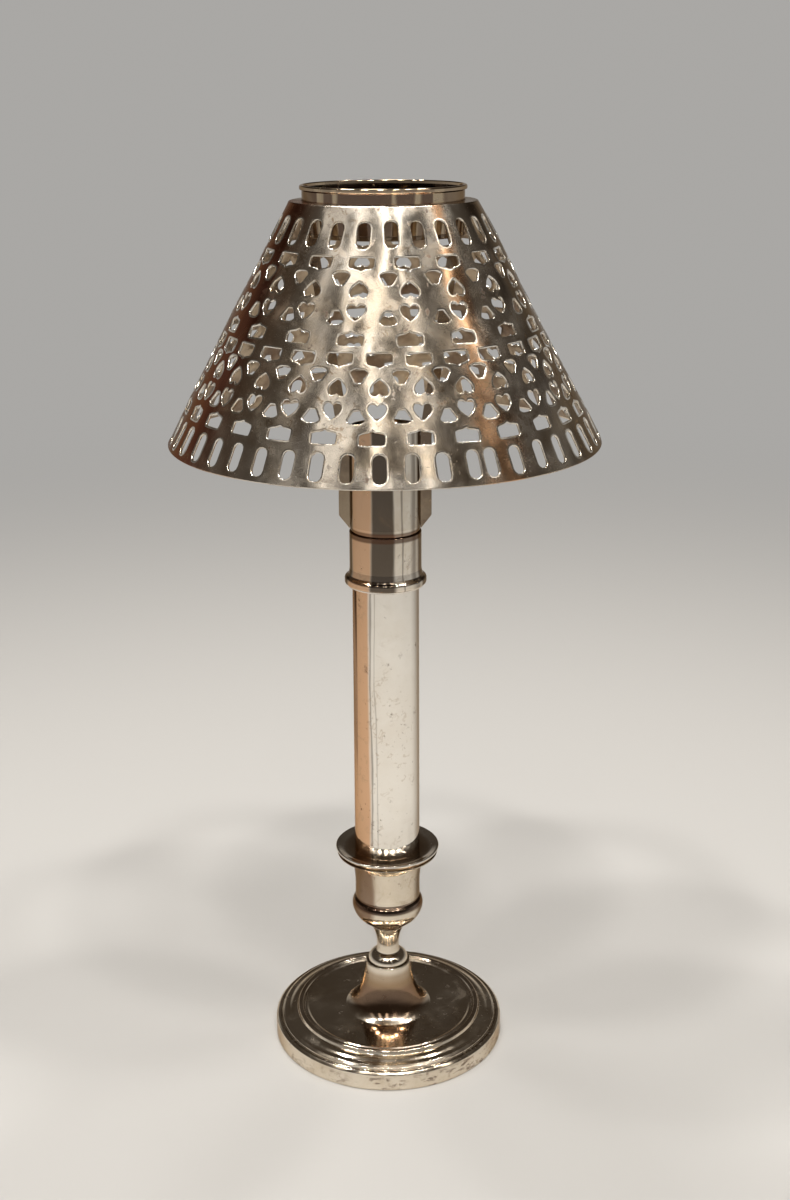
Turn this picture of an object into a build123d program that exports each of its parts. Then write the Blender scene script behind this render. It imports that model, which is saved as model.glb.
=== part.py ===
from build123d import *
import math
import os

# A silver-plated candle lamp: a candlestick whose socket takes a tube with a
# sprung candle inside, and a pierced shade that rides on two arms above it.
# Millimetres, +Z up, origin on the resting surface, on the lamp's axis.
# Azimuths are degrees from the front (-Y) towards the right (+X).

# --- clearances -------------------------------------------------------------
loose = 0.30  # round a piece that slides or lifts freely
running = 0.10  # radial play of a sleeve on its neck
solder = 0.05  # between pieces joined for good

# --- foot -------------------------------------------------------------------
foot_radius = 42.5
foot_band_height = 5.2
foot_bead_height = 1.5
foot_bead_rise = 0.5
foot_groove_depth = 2.1
foot_ogee_rise = 0.9
foot_wall = 1.0
step_radius = 33.7
step_height = 9.3
step_bead_width = 2.2
step_bead_rise = 0.8
trumpet_radius = 15.8
trumpet_height = 18.1
trumpet_hollow = 2.2
neck_radius = 8.2
weight_height = 3.6
baize_thickness = 0.8

# --- stem and the rod through it --------------------------------------------
knop_radius = 7.7
knop_height = 3.8
knop_bulge = 0.8
stem_radius = 4.1
stem_length = 3.9
stem_flare_height = 7.0
stem_flare_radius = 6.6
stem_flare_hollow = 0.7
rod_radius = 1.5
rod_end = 1.0  # of the rod past the nut
nut_width = 5.5
nut_height = 2.4

# --- socket -----------------------------------------------------------------
bulb_radius = 13.0
bulb_height = 8.3
bulb_rise = 1.3
socket_bead_rise = 0.3
socket_bead_height = 2.2
waist_radius = 11.7
waist_height = 2.7
vase_radius = 12.4
vase_height = 11.2
lip_radius = 18.6
lip_flare_height = 4.9
lip_flare_rise = 1.7
lip_thickness = 0.8
socket_wall = 2.0
socket_floor = 7.4

# --- drip pan ---------------------------------------------------------------
pan_radius = 19.2
pan_seat_thickness = 1.0
pan_seat_width = 0.6
pan_rim_rise = 1.1
pan_sleeve_wall = 0.7
pan_sleeve_depth = 18.0

# --- candle tube ------------------------------------------------------------
tube_radius = 12.0
tube_wall = 0.6
tube_length = 121.4
spigot_length = 16.0
plug_thickness = 3.0

# --- candle, follower and spring --------------------------------------------
candle_radius = 11.0
candle_length = 45.0
candle_tip_radius = 7.6
candle_tip_height = 3.4
wick_radius = 0.8
wick_depth = 4.0
wick_stand = 7.0
follower_height = 9.0
follower_wall = 0.8
spring_wire = 0.9
spring_turns = 11
spring_sides = 10  # straight runs in one turn of the coil
spring_play = 0.6

# --- cap --------------------------------------------------------------------
cap_wall = 0.85
cap_skirt_length = 20.1
cap_shoulder_wall = 0.7
cap_bead_width = 1.2
cap_bead_rise = 0.6
cap_bead_height = 3.3
cap_cove_height = 3.2
cap_neck_wall = 0.7
cap_neck_length = 31.0
cap_lip_thickness = 0.9
cap_lip_hole_radius = 8.6
pin_radius = 0.9
pin_drop = 8.6  # below the top of the tube
lock_turn = 25.0  # degrees from locked to free

# --- shade carrier ----------------------------------------------------------
sleeve_wall = 0.55
sleeve_length = 38.0
arm_width = 3.9
arm_thickness = 1.0
arm_foot_lift = 0.5
arm_chamfer = 4.9
arm_straight = 29.0
ledge_width = 2.4
ledge_thickness = 1.6
upstand_height = 4.0

# --- shade ------------------------------------------------------------------
shade_bottom_radius = 76.2
shade_bottom_height = 228.9
shade_top_radius = 31.9
shade_slant = 95.8
sheet = 0.7
sheet_flats = 40
collar_radius = 28.1
collar_wall = 0.7
collar_drop = 11.4  # below the top of the sheet
collar_rise = 4.3  # above the top of the sheet
collar_lip_height = 2.1
collar_lip_rise = 0.8

# --- piercing: rows are placed down the slant from the sheet's top edge -------
slot_width = 4.3
slot_length = 9.4
panel_width = 8.1
panel_height = 3.5
panel_gable = 1.1
fan_wide = 5.6
fan_narrow = 2.2
fan_height = 4.5
fan_bow = 1.0
heart_width = 6.0
heart_height = 5.5
heart_notch = 1.0
top_slot_row = 11.35
upper_lace = 33.9
lower_lace = 66.4
bottom_slot_row = 89.0
panel_shift = 12.7  # from the middle of a lace band to each of its rows
fan_shift = 6.6
heart_shift = 3.9
top_slots = 26
upper_repeats = 18
lower_repeats = 28
bottom_slots = 46
closing_gap = 4.7  # degrees, where the bottom row meets itself
top_slot_start = 3.7
upper_lace_start = 10.4
lower_lace_start = 11.2
bottom_slot_start = 27.1

# --- worked out: foot and stem ----------------------------------------------
groove_height = foot_band_height + foot_bead_height
foot_top = step_height + trumpet_height
weight_top = baize_thickness + weight_height
knop_top = foot_top + knop_height
nut_base = foot_top - foot_wall - nut_height
socket_base = knop_top + stem_length + stem_flare_height
rod_bore = rod_radius + running

# --- worked out: socket, drip pan and tube ----------------------------------
bulb_top = socket_base + bulb_height
bead_top = bulb_top + socket_bead_height
waist = bead_top + waist_height
flare_base = waist + vase_height
socket_top = flare_base + lip_flare_height + lip_thickness
socket_bore = vase_radius - socket_wall
socket_floor_height = socket_base + socket_floor
pan_sleeve_radius = socket_bore - running
pan_sleeve_bore = pan_sleeve_radius - pan_sleeve_wall
spigot_radius = pan_sleeve_bore - running
tube_base = socket_top + pan_seat_thickness
tube_bore = tube_radius - tube_wall
tube_top = tube_base + tube_length
plug_top = tube_base + plug_thickness

# --- worked out: cap and candle ---------------------------------------------
cap_bore = tube_radius + running
cap_radius = cap_bore + cap_wall
cap_ceiling = tube_top + running
cap_shoulder = cap_ceiling + cap_shoulder_wall
cap_base = cap_shoulder - cap_skirt_length
cap_neck_bore = candle_radius + loose
cap_neck_radius = cap_neck_bore + cap_neck_wall
cap_top = cap_shoulder + cap_neck_length
cap_lip_under = cap_top - cap_lip_thickness
pin_height = tube_top - pin_drop
candle_shoulder = cap_lip_under - running
candle_base = candle_shoulder - candle_length
candle_tip = candle_shoulder + candle_tip_height
follower_radius = tube_bore - loose
spring_radius = follower_radius - follower_wall - spring_play - spring_wire / 2

# --- worked out: carrier and shade ------------------------------------------
sleeve_bore = cap_neck_radius + running
sleeve_radius = sleeve_bore + sleeve_wall
sleeve_top = cap_shoulder + sleeve_length
shade_spread = shade_bottom_radius - shade_top_radius
shade_height = math.sqrt(shade_slant**2 - shade_spread**2)
shade_top = shade_bottom_height + shade_height
half_angle = math.atan2(shade_spread, shade_height)
collar_bore = collar_radius - collar_wall
collar_base = shade_top - collar_drop
collar_top = shade_top + collar_rise
ledge_base = collar_base - ledge_thickness
upstand_radius = collar_bore - loose
bottom_slot_pitch = (360 - closing_gap) / (bottom_slots - 1)


def curve(start, end, rise, steps):
    """A circular arc after its start, in straight steps, bulging to the right of its way."""
    run = end[0] - start[0], end[1] - start[1]
    chord = math.hypot(*run)
    reach = 2 * math.atan(2 * rise / chord)
    radius = chord / 2 / math.sin(reach)
    points = []
    for step in range(1, steps + 1):
        angle = reach * (2 * step / steps - 1)
        along = 0.5 + radius * math.sin(angle) / chord
        aside = radius * (math.cos(angle) - math.cos(reach)) / chord
        points.append(
            (
                start[0] + along * run[0] + aside * run[1],
                start[1] + along * run[1] - aside * run[0],
            )
        )
    return points


def turned(*outline):
    """Spins a closed outline of (radius, height) points round the axis."""
    return revolve(Plane.XZ * make_face(Polyline(*outline, outline[0])), Axis.Z)


def ring(inner, outer, base, top):
    """A plain turned ring."""
    return turned((inner, base), (outer, base), (outer, top), (inner, top))


def disc(radius, base, top):
    """A plain turned disc."""
    return Pos(0, 0, base) * extrude(Circle(radius), top - base)


# --- candlestick ------------------------------------------------------------
def make_foot_shell():
    """The foot: a plain band, bead, groove, ogee, beaded step, flat dish and trumpet neck."""
    band_top = (foot_radius, foot_band_height)
    groove = (foot_radius - foot_groove_depth, groove_height)
    step_outside = (step_radius, step_height)
    step_inside = (step_radius - step_bead_width, step_height)
    trumpet_foot = (trumpet_radius, step_height)
    trumpet_top = (neck_radius, foot_top)
    inner = foot_radius - foot_wall
    under = step_height - foot_wall
    throat = neck_radius - foot_wall
    return turned(
        (inner, 0),
        (foot_radius, 0),
        band_top,
        *curve(band_top, groove, foot_bead_rise, 2),
        *curve(groove, step_outside, foot_ogee_rise, 2),
        *curve(step_outside, step_inside, step_bead_rise, 2),
        trumpet_foot,
        *curve(trumpet_foot, trumpet_top, -trumpet_hollow, 5),
        (rod_bore, foot_top),
        (rod_bore, foot_top - foot_wall),
        (throat - foot_wall, foot_top - foot_wall),
        (throat - foot_wall, under),
        (step_radius - foot_wall, under),
        (step_radius - foot_wall, foot_band_height),
        (inner, foot_band_height),
    )


def make_foot_weight():
    """The cast disc pressed into the foot's band."""
    return disc(foot_radius - foot_wall - solder, baize_thickness, weight_top)


def make_baize_pad():
    """The cloth under the weight, level with the band's edge."""
    return disc(foot_radius - foot_wall - solder, 0, baize_thickness)


def make_stem():
    """The domed knop on the foot, and the neck that flares up to the socket."""
    knop_low = (knop_radius, foot_top)
    knop_high = (stem_radius, knop_top)
    flare_low = (stem_radius, knop_top + stem_length)
    flare_high = (stem_flare_radius, socket_base)
    return turned(
        (rod_bore, foot_top),
        knop_low,
        *curve(knop_low, knop_high, knop_bulge, 3),
        flare_low,
        *curve(flare_low, flare_high, -stem_flare_hollow, 3),
        (rod_bore, socket_base),
    )


def make_socket_cup():
    """The candle socket: bulb, bead, waist, vase and a lip flared out under the drip pan."""
    bulb_low = (stem_flare_radius, socket_base)
    bulb_high = (bulb_radius, bulb_top)
    bead_high = (bulb_radius, bead_top)
    vase_high = (vase_radius, flare_base)
    lip_under = (lip_radius, socket_top - lip_thickness)
    return turned(
        (rod_bore, socket_base),
        bulb_low,
        *curve(bulb_low, bulb_high, bulb_rise, 3),
        *curve(bulb_high, bead_high, socket_bead_rise, 2),
        (waist_radius, waist),
        vase_high,
        *curve(vase_high, lip_under, -lip_flare_rise, 3),
        (lip_radius, socket_top),
        (socket_bore, socket_top),
        (socket_bore, socket_floor_height),
        (rod_bore, socket_floor_height),
    )


def make_tie_rod():
    """The rod that ties foot, stem and socket together."""
    return disc(rod_radius, nut_base - rod_end, socket_floor_height)


def make_tie_nut():
    """The hexagon nut on the rod, drawn up inside the foot's neck."""
    hexagon = RegularPolygon(nut_width / 2, 6, major_radius=False)
    bored = hexagon - Circle(rod_radius + solder)
    return Pos(0, 0, nut_base) * extrude(bored, nut_height)


# --- drip pan ---------------------------------------------------------------
def make_drip_pan():
    """The loose nozzle: a dished flange on a sleeve that drops into the socket."""
    sleeve_end = socket_top - pan_sleeve_depth
    return turned(
        (pan_sleeve_bore, sleeve_end),
        (pan_sleeve_radius, sleeve_end),
        (pan_sleeve_radius, socket_top),
        (lip_radius, socket_top),
        (pan_radius, tube_base + pan_rim_rise),
        (tube_radius + pan_seat_width, tube_base),
        (pan_sleeve_bore, tube_base),
    )


# --- candle tube ------------------------------------------------------------
def make_candle_tube():
    """The polished tube, with two L slots near its top for the bayonet pins."""
    half_slot = pin_radius + running
    reach = math.degrees(half_slot / tube_radius)
    far = 2 * tube_radius
    corner = Vector(far, 0).rotate(Axis.Z, lock_turn + 2 * reach)
    wedge = extrude(make_face(Polyline((0, 0), (far, 0), corner, (0, 0))), tube_top)
    level = ring(tube_bore - tube_wall, cap_bore, pin_height - half_slot, pin_height + half_slot)
    entry_depth = pin_drop + half_slot
    entry = Pos(tube_radius, 0, tube_top) * Box(4 * tube_wall, 2 * half_slot, 2 * entry_depth)
    slot = (level & Rot(0, 0, -reach) * wedge) + Rot(0, 0, lock_turn) * entry
    tube = ring(tube_bore, tube_radius, tube_base, tube_top)
    return tube - slot - Rot(0, 0, 180) * slot


def make_tube_foot():
    """The plug in the tube's end, with the spigot that stands in the drip pan's sleeve."""
    spigot_end = tube_base - spigot_length
    plug_radius = tube_bore - solder
    return turned(
        (0, spigot_end),
        (spigot_radius, spigot_end),
        (spigot_radius, tube_base),
        (plug_radius, tube_base),
        (plug_radius, plug_top),
        (0, plug_top),
    )


# --- follower, candle and spring --------------------------------------------
def make_candle_follower():
    """The inverted cup that pushes the candle up."""
    base = candle_base - follower_height
    inside = follower_radius - follower_wall
    ceiling = candle_base - follower_wall
    return turned(
        (inside, base),
        (follower_radius, base),
        (follower_radius, candle_base),
        (0, candle_base),
        (0, ceiling),
        (inside, ceiling),
    )


def make_candle():
    """The candle, held down at its shoulder by the cap's lip."""
    wick_seat = candle_tip - wick_depth
    return turned(
        (0, candle_base),
        (candle_radius, candle_base),
        (candle_radius, candle_shoulder),
        (candle_tip_radius, candle_shoulder),
        (candle_tip_radius, candle_tip - wick_radius),
        (wick_radius, candle_tip),
        (wick_radius, wick_seat),
        (0, wick_seat),
    )


def make_wick():
    """The wick, set in the candle's tip."""
    return disc(wick_radius - solder, candle_tip - wick_depth, candle_tip + wick_stand)


def make_follower_spring():
    """The long spring of square wire, from the tube's plug to the inside of the follower."""
    low = plug_top + spring_wire + running
    high = candle_base - follower_wall - spring_wire - running
    runs = spring_turns * spring_sides
    coil = []
    for n in range(runs + 1):
        turn = math.tau * n / spring_sides
        x = spring_radius * math.cos(turn)
        y = spring_radius * math.sin(turn)
        coil.append(Vector(x, y, low + (high - low) * n / runs))
    wire = Polyline(*coil)
    section = Plane(coil[0], z_dir=coil[1] - coil[0]) * Rectangle(spring_wire, spring_wire)
    return sweep(section, path=wire, transition=Transition.RIGHT)


# --- cap --------------------------------------------------------------------
def make_tube_cap():
    """The cap: beaded skirt over the tube, shoulder, and a neck whose lip stops the candle."""
    bead_low = (cap_radius + cap_bead_width, cap_base)
    bead_high = (cap_radius + cap_bead_width, cap_base + cap_bead_height)
    return turned(
        (cap_bore, cap_base),
        bead_low,
        *curve(bead_low, bead_high, cap_bead_rise, 2),
        (cap_radius, cap_base + cap_bead_height + cap_cove_height),
        (cap_radius, cap_shoulder),
        (cap_neck_radius, cap_shoulder),
        (cap_neck_radius, cap_top),
        (cap_lip_hole_radius, cap_top),
        (cap_lip_hole_radius, cap_lip_under),
        (cap_neck_bore, cap_lip_under),
        (cap_neck_bore, cap_ceiling),
        (cap_bore, cap_ceiling),
    )


def make_bayonet_pins():
    """Two pips inside the cap's skirt that run in the tube's slots."""
    inner = tube_bore + running
    outer = math.sqrt(cap_bore**2 - pin_radius**2)
    pip = Pos(inner, 0, pin_height) * Rot(0, 90, 0) * extrude(Circle(pin_radius), outer - inner)
    return Compound(children=[pip, Rot(0, 0, 180) * pip])


# --- shade carrier ----------------------------------------------------------
def make_carrier_sleeve():
    """The sleeve that slides over the cap's neck and rests on its shoulder."""
    return ring(sleeve_bore, sleeve_radius, cap_shoulder, sleeve_top)


def make_carrier_arm(turn):
    """A flat arm: a chamfered foot, a straight run beside the sleeve, then out to the ring."""
    outer = sleeve_radius + arm_width
    foot = cap_shoulder + arm_foot_lift
    outline = Polyline(
        (sleeve_radius, foot),
        (outer, foot + arm_chamfer),
        (outer, foot + arm_chamfer + arm_straight),
        (upstand_radius, ledge_base),
        (upstand_radius - arm_width, ledge_base),
        (sleeve_radius, sleeve_top),
        (sleeve_radius, foot),
    )
    arm = extrude(Plane.XZ * make_face(outline), arm_thickness / 2, both=True)
    return Rot(0, 0, turn) * arm


def make_carrier_ring():
    """The ring on the arms' ends: a ledge under the shade's collar, stepped up inside it."""
    return turned(
        (upstand_radius - ledge_width, ledge_base),
        (collar_radius, ledge_base),
        (collar_radius, collar_base),
        (upstand_radius, collar_base),
        (upstand_radius, collar_base + upstand_height),
        (upstand_radius - ledge_width, collar_base + upstand_height),
    )


# --- shade ------------------------------------------------------------------
def make_shade_collar():
    """The drum in the top of the sheet, with its edge rolled out into a lip."""
    lip_low = (collar_radius, collar_top - collar_lip_height)
    lip_high = (collar_radius, collar_top)
    return turned(
        (collar_bore, collar_base),
        (collar_radius, collar_base),
        lip_low,
        *curve(lip_low, lip_high, collar_lip_rise, 2),
        (collar_bore, collar_top),
    )


def mirrored(*right):
    """A whole outline from its right half, given from the bottom up."""
    left = [(-x, y) for x, y in reversed(right) if x > 0]
    return [*right, *left]


def slot_outline():
    """An upright slot, its round ends cut as half octagons."""
    side = slot_width / 2
    end = slot_length / 2
    flat = side * math.tan(math.pi / 8)
    shoulder = end - side + flat
    return mirrored((flat, -end), (side, -shoulder), (side, shoulder), (flat, end))


def panel_outline():
    """A wide panel whose upper edge rises to a low gable."""
    side = panel_width / 2
    low = -(panel_height + panel_gable) / 2
    return mirrored((side, low), (side, low + panel_height), (0, -low))


def fan_outline():
    """A fan, narrow below, with a bowed upper edge."""
    high = fan_height / 2
    return mirrored((fan_narrow / 2, -high), (fan_wide / 2, high - fan_bow), (0, high))


def heart_outline():
    """A heart that stands on its point."""
    high = heart_height / 2
    side = heart_width / 2
    return mirrored((0, -high), (side, high / 3), (side / 2, high), (0, high - heart_notch))


def punch(outline, distance, upside_down=False):
    """A punch for one hole, square to the front of the sheet at a distance down its slant."""
    radius = shade_top_radius + distance * math.sin(half_angle)
    height = shade_top - distance * math.cos(half_angle)
    outward = (0, -math.cos(half_angle), math.sin(half_angle))
    place = Plane(origin=(0, -radius, height), x_dir=(1, 0, 0), z_dir=outward)
    turn = 180 if upside_down else 0
    face = make_face(Polyline(*outline, outline[0]))
    return extrude(place * Rot(0, 0, turn) * face, 3 * sheet, both=True)


def row(tool, count, start, pitch):
    """The punch repeated round the shade."""
    return [Rot(0, 0, start + pitch * n) * tool for n in range(count)]


def lace_band(middle, repeats, start):
    """A band of lace: panels, fans and hearts over its middle and the same, inverted, under it."""
    pitch = 360 / repeats
    holes = []
    for side, over in ((-1, True), (1, False)):
        panel = punch(panel_outline(), middle + side * panel_shift, upside_down=over)
        fan = punch(fan_outline(), middle + side * fan_shift, upside_down=not over)
        heart = punch(heart_outline(), middle + side * heart_shift, upside_down=over)
        holes += row(panel, repeats, start, pitch)
        holes += row(fan, repeats, start + pitch / 2, pitch)
        holes += row(heart, repeats, start, pitch)
    return holes


def flat_sided_cone(radius, height):
    """A solid with the sheet's slope, bent in narrow flats, on the level of its bottom edge."""
    sides = RegularPolygon(radius, sheet_flats, major_radius=False)
    slope = math.degrees(half_angle)
    return Pos(0, 0, shade_bottom_height) * extrude(sides, height, taper=slope)


def make_shade_sheet():
    """The pierced cone, its top edge turned in to the collar."""
    wall = sheet / math.cos(half_angle)
    blank = flat_sided_cone(shade_bottom_radius, shade_height)
    blank -= flat_sided_cone(shade_bottom_radius - wall, shade_height - sheet)
    blank -= disc(collar_radius + solder, collar_base, collar_top)
    top_slot = punch(slot_outline(), top_slot_row)
    bottom_slot = punch(slot_outline(), bottom_slot_row)
    holes = row(top_slot, top_slots, top_slot_start, 360 / top_slots)
    holes += lace_band(upper_lace, upper_repeats, upper_lace_start)
    holes += lace_band(lower_lace, lower_repeats, lower_lace_start)
    holes += row(bottom_slot, bottom_slots, bottom_slot_start, bottom_slot_pitch)
    return blank - holes


pieces = {
    "foot_shell": make_foot_shell(),
    "foot_weight": make_foot_weight(),
    "baize_pad": make_baize_pad(),
    "stem": make_stem(),
    "socket_cup": make_socket_cup(),
    "tie_rod": make_tie_rod(),
    "tie_nut": make_tie_nut(),
    "drip_pan": make_drip_pan(),
    "candle_tube": make_candle_tube(),
    "tube_foot": make_tube_foot(),
    "candle_follower": make_candle_follower(),
    "candle": make_candle(),
    "wick": make_wick(),
    "follower_spring": make_follower_spring(),
    "tube_cap": make_tube_cap(),
    "bayonet_pins": make_bayonet_pins(),
    "carrier_sleeve": make_carrier_sleeve(),
    "carrier_arm_right": make_carrier_arm(0),
    "carrier_arm_left": make_carrier_arm(180),
    "carrier_ring": make_carrier_ring(),
    "shade_collar": make_shade_collar(),
    "shade_sheet": make_shade_sheet(),
}

os.makedirs("parts", exist_ok=True)
for name, piece in pieces.items():
    export_step(piece, f"parts/{name}.step")
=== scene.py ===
"""Looks of a silver-plated candle lamp: pierced shade, polished tube, turned candlestick.

Metres, +Z up. Azimuths run from the front (-Y) towards the right (+X).
"""

import math

import bpy
import numpy as np
from mathutils import Matrix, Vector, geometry


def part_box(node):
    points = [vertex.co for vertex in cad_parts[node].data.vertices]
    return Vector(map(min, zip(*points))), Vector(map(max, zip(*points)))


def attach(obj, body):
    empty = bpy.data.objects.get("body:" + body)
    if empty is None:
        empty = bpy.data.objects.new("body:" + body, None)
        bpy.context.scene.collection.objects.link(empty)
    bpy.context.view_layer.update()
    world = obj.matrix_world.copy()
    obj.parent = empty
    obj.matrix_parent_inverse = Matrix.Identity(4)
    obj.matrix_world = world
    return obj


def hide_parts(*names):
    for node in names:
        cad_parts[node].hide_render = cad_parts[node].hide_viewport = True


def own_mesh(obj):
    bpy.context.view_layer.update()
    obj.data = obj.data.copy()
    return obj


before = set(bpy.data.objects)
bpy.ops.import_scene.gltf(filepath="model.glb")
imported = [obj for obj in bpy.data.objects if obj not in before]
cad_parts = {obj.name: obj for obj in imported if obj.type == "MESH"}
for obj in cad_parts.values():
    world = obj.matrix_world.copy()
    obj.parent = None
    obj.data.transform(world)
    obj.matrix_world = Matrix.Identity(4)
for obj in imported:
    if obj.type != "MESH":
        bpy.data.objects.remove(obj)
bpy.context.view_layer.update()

# --- sizes: from the frame, and details in metres ---------------------------------
MM = 0.001
FULL = -1.0  # a rounding as large as its corner's sides allow
around = 240  # points on a turned circle
foot_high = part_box("foot_shell")[1]
stem_low, stem_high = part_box("stem")
cup_low, cup_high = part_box("socket_cup")
pan_low, pan_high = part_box("drip_pan")
tube_low, tube_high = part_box("candle_tube")
cap_low, cap_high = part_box("tube_cap")
sleeve_low, sleeve_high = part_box("carrier_sleeve")
ledge_low, ledge_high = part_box("carrier_ring")
collar_low, collar_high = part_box("shade_collar")
candle_low, candle_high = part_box("candle")
wick_low, wick_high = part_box("wick")
spring_low, spring_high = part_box("follower_spring")

sheet = 0.7 * MM
shade_bottom_radius = 76.2 * MM
shade_top_radius = 31.9 * MM
shade_bottom = 228.9 * MM
shade_slant = 95.8 * MM
slope = math.asin((shade_bottom_radius - shade_top_radius) / shade_slant)
shade_top = shade_bottom + shade_slant * math.cos(slope)
hem = 0.9 * MM  # plain edge left round the bottom of the pierced field
shoulder = 1.3 * MM  # down the slant from the cone's full top to its rounded shoulder
field_top = shoulder + 1.2 * MM  # the pierced field's upper edge, down the slant
field_bottom = shade_slant - hem
cone_tip = shade_top_radius / math.sin(slope)  # from the cone's tip to its full top
unrolled = 2 * math.pi * math.sin(slope)  # the whole turn's width once flattened
edge_points = 240  # round each edge of the field
hole_points = 18
hole_guard = 1.55 * MM  # kept free of fill points round each hole
hole_reach = 8 * MM  # further from its centre than any point of a hole and its guard
corner_share = 1.3 * MM  # of a hole's outline, given to each radian that it turns
rim_spacing = 0.3  # of the spacing of a hole's points, kept by the points of its rim
fill_spacing = 0.022  # of the distance from the cone's tip
fill_row = 0.87  # of that spacing, from one row of fill points to the next
fill_jitter = 0.12  # of that spacing
top_clear, bottom_clear = 0.9 * MM, 1.0 * MM  # from the field's edges to the fill points
overlap = 0.3  # of the flattened turn repeated past each end, so that the triangles close
ripple = 0.13 * MM  # of the sheet's hand-made unevenness
hand_shift = 0.22 * MM  # how far the hand-cut holes stray
hand_turn = 1.6  # degrees
rim_offsets = np.array([0.72, 0.24, 0.0, 0.0]) * MM  # rolled rim: away from the hole
rim_lifts = np.array([0.0, 0.16, -0.05, -0.70]) * MM  # and off the sheet's outer face


# --- outlines and meshes ----------------------------------------------------------
def softened(corners, steps=7, closed=True):
    """A polygon (x, y, rounding), solid on its left, with tangent arcs for corners.

    Returns points and outward normals. On each arc the normal turns evenly from the
    incoming side's to the outgoing side's, and a point is centre +- rounding * normal.
    A rounding below nought is the one whose arc reaches the middle of the shorter side.
    """
    data = np.array(corners, float)
    here, rounding = data[:, :2], data[:, 2]
    before, after = np.roll(here, 1, 0), np.roll(here, -1, 0)
    points, normals = [], []
    for n in range(len(here)):
        if not closed and n in (0, len(here) - 1):
            side = after[n] - here[n] if n == 0 else here[n] - before[n]
            side = side / np.linalg.norm(side)
            points.append(here[n][None])
            normals.append(np.array([[side[1], -side[0]]]))
            continue
        come, leave = here[n] - before[n], after[n] - here[n]
        near, far = np.linalg.norm(come), np.linalg.norm(leave)
        come, leave = come / near, leave / far
        bend = math.atan2(come[0] * leave[1] - come[1] * leave[0], come @ leave)
        left = math.copysign(1.0, bend)
        first = np.array([come[1], -come[0]])
        if rounding[n] < 0:
            rounding[n] = 0.5 * min(near, far) / math.tan(abs(bend) / 2)
        start = here[n] - come * rounding[n] * math.tan(abs(bend) / 2)
        centre = start - left * rounding[n] * first
        turn = np.linspace(0, bend, max(2, math.ceil(steps * abs(bend) / 1.6) + 1))
        normal = np.stack(
            [
                first[0] * np.cos(turn) - first[1] * np.sin(turn),
                first[0] * np.sin(turn) + first[1] * np.cos(turn),
            ],
            axis=1,
        )
        points.append(centre + left * rounding[n] * normal)
        normals.append(normal)
    return np.concatenate(points), np.concatenate(normals)


def make_object(name, points, quads, triangles=(), normals=None):
    """A smooth-shaded mesh object from arrays; quads with a doubled corner become triangles."""
    doubled = quads == np.roll(quads, -1, 1)
    pinched = doubled.any(1)
    poles = quads[pinched][~doubled[pinched]].reshape(-1, 3)
    faces = quads[~pinched].tolist() + poles.tolist() + np.asarray(triangles).tolist()
    mesh = bpy.data.meshes.new(name)
    mesh.from_pydata(points.tolist(), [], faces)
    mesh.polygons.foreach_set("use_smooth", np.ones(len(mesh.polygons), bool))
    if normals is not None:
        lengths = np.linalg.norm(normals, axis=1, keepdims=True)
        mesh.normals_split_custom_set_from_vertices((normals / lengths).tolist())
    made = bpy.data.objects.new(name, mesh)
    bpy.context.scene.collection.objects.link(made)
    return made


def grid_faces(index, wrap_rows):
    """Quads between neighbouring rows and columns of an index grid; columns always close."""
    upper = np.roll(index, -1, 0) if wrap_rows else index[1:]
    lower = index if wrap_rows else index[:-1]
    quads = np.stack([lower, np.roll(lower, -1, 1), np.roll(upper, -1, 1), upper], axis=-1)
    return quads.reshape(-1, 4)


def carried(across, along, turn):
    """Places (across, along) carried round the axis to each angle of turn, row by row."""
    across, along = across[:, None], along[:, None]
    return np.stack([across * np.cos(turn), across * np.sin(turn), along + 0 * turn], axis=-1)


def turned(name, corners, steps=7, closed=True):
    """A turned piece: its softened outline of (radius, height, rounding) in millimetres,
    carried round the axis."""
    outline, normal = softened(np.array(corners) * MM, steps, closed)
    turn = np.linspace(0, 2 * math.pi, around, endpoint=False)
    points, normals = carried(*outline.T, turn), carried(*normal.T, turn)
    index = np.arange(len(outline) * around).reshape(-1, around)
    on_axis = outline[:, 0] < 0.001 * MM
    index[on_axis] = index[on_axis, :1]
    faces = grid_faces(index, closed)
    return make_object(name, points.reshape(-1, 3), faces, normals=normals.reshape(-1, 3))


# --- materials --------------------------------------------------------------------
def new_material(name):
    """A node material with only a Principled shader; returns it, its node tree and the shader."""
    material = bpy.data.materials.new(name)
    material.use_nodes = True
    tree = material.node_tree
    tree.nodes.clear()
    output = tree.nodes.new("ShaderNodeOutputMaterial")
    shader = tree.nodes.new("ShaderNodeBsdfPrincipled")
    tree.links.new(shader.outputs["BSDF"], output.inputs["Surface"])
    return material, tree, shader


def add_node(tree, kind, settings=None, **inputs):
    """Adds a node, sets its properties and fills its inputs with values or other sockets."""
    made = tree.nodes.new(kind)
    for key, value in (settings or {}).items():
        setattr(made, key, value)
    for key, value in inputs.items():
        numbered = key[0] == "i" and key[1:].isdigit()
        socket = made.inputs[int(key[1:]) if numbered else key]
        if isinstance(value, bpy.types.NodeSocket):
            tree.links.new(value, socket)
        else:
            socket.default_value = value
    return made


def place(tree, stretch=(1, 1, 1)):
    """Object coordinates, stretched along the axes."""
    coordinates = add_node(tree, "ShaderNodeTexCoord")
    mapping = add_node(
        tree, "ShaderNodeMapping", Vector=coordinates.outputs["Object"], Scale=stretch
    )
    return mapping.outputs["Vector"]


def noise(tree, where, scale, detail, rough, warp=0.0):
    """Noise value at a scale per metre."""
    made = add_node(
        tree, "ShaderNodeTexNoise", Vector=where, Scale=scale, Detail=detail, Roughness=rough,
        Distortion=warp,
    )
    return made.outputs["Fac"]


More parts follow.
